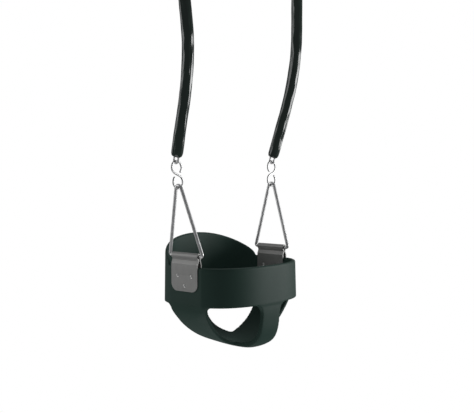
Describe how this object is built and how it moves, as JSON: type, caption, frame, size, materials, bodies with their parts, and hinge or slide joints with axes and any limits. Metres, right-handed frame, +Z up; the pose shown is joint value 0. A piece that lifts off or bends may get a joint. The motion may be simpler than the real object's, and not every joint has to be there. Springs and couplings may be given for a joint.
{
  "type": "toddler bucket swing",
  "caption": "Moulded full-bucket toddler swing seat with leg openings, hung by folded steel plates, wire triangles and soft-sleeved chains with S-hooks.",
  "frame": {"origin": "midway between the two points where the top hooks hang from the swing beam", "axes": "+Z up, +X across the seat from its left hanger to its right one, -Y the front of the seat"},
  "size_m": [0.4618, 0.2715, 0.99],
  "materials": {
    "seat_polymer": "satin",
    "sleeve_vinyl": "gloss",
    "zinc_steel": "bright zinc plated",
    "plate_steel": "matte",
    "rivet_steel": "satin",
    "insert_steel": "plain"
  },
  "bodies": {
    "top_hooks": {"left_top_hook": "zinc_steel", "right_top_hook": "zinc_steel"},
    "left_upper_link": {"left_top_link": "zinc_steel"},
    "right_upper_link": {"right_top_link": "zinc_steel"},
    "left_chain": {"left_chain_links": "zinc_steel", "left_bottom_link": "zinc_steel", "left_sleeve": "sleeve_vinyl"},
    "right_chain": {"right_chain_links": "zinc_steel", "right_bottom_link": "zinc_steel", "right_sleeve": "sleeve_vinyl"},
    "left_lower_hook": {"left_hook": "zinc_steel"},
    "right_lower_hook": {"right_hook": "zinc_steel"},
    "left_hanger": {"left_triangle": "zinc_steel"},
    "right_hanger": {"right_triangle": "zinc_steel"},
    "seat": {"seat_shell": "seat_polymer", "left_insert": "insert_steel", "right_insert": "insert_steel", "left_hanger_plate": "plate_steel", "right_hanger_plate": "plate_steel", "left_rivets": "rivet_steel", "right_rivets": "rivet_steel"}
  },
  "joints": [
    {"name": "swing", "type": "hinge", "parent": "top_hooks", "child": "left_upper_link", "pos_m": [-0.2098, 0, -0.06131], "axis": [1, 0, 0], "range_deg": [-45, 45]},
    {"name": "sway", "type": "hinge", "parent": "left_upper_link", "child": "left_chain", "pos_m": [-0.20777, -0.00271, -0.08699], "axis": [0, 1, 0], "range_deg": [-3.5, 3.5]},
    {"name": "hook_tilt", "type": "hinge", "parent": "left_chain", "child": "left_lower_hook", "pos_m": [-0.17234, 0.03039, -0.5372], "axis": [1, 0, 0], "range_deg": [-6, 6]},
    {"name": "triangle_tilt", "type": "hinge", "parent": "left_lower_hook", "child": "left_hanger", "pos_m": [-0.16736, 0.02372, -0.60045], "axis": [1, 0, 0], "range_deg": [-4, 4]},
    {"name": "seat_level", "type": "hinge", "parent": "left_hanger", "child": "seat", "pos_m": [-0.155, 0.00395, -0.75755], "axis": [0, 1, 0], "range_deg": [-4.7, 4.7]},
    {"name": "right_swing", "type": "hinge", "parent": "top_hooks", "child": "right_upper_link", "pos_m": [0.2098, 0, -0.06131], "axis": [1, 0, 0], "range_deg": [-45, 45]},
    {"name": "right_sway", "type": "hinge", "parent": "right_upper_link", "child": "right_chain", "pos_m": [0.20777, -0.00271, -0.08699], "axis": [0, 1, 0], "range_deg": [-3.5, 3.5]},
    {"name": "right_hook_tilt", "type": "hinge", "parent": "right_chain", "child": "right_lower_hook", "pos_m": [0.17234, 0.03039, -0.5372], "axis": [1, 0, 0], "range_deg": [-6, 6]},
    {"name": "right_triangle_tilt", "type": "hinge", "parent": "right_lower_hook", "child": "right_hanger", "pos_m": [0.16736, 0.02372, -0.60045], "axis": [1, 0, 0], "range_deg": [-4, 4]}
  ],
  "couplings": [
    {"joint": "right_swing", "follows": "swing", "ratio": 1},
    {"joint": "right_sway", "follows": "sway", "ratio": 1},
    {"joint": "seat_level", "follows": "sway", "ratio": -1.3405},
    {"joint": "triangle_tilt", "follows": "hook_tilt", "ratio": 0.65},
    {"joint": "right_hook_tilt", "follows": "hook_tilt", "ratio": 1},
    {"joint": "right_triangle_tilt", "follows": "hook_tilt", "ratio": 0.65}
  ]
}
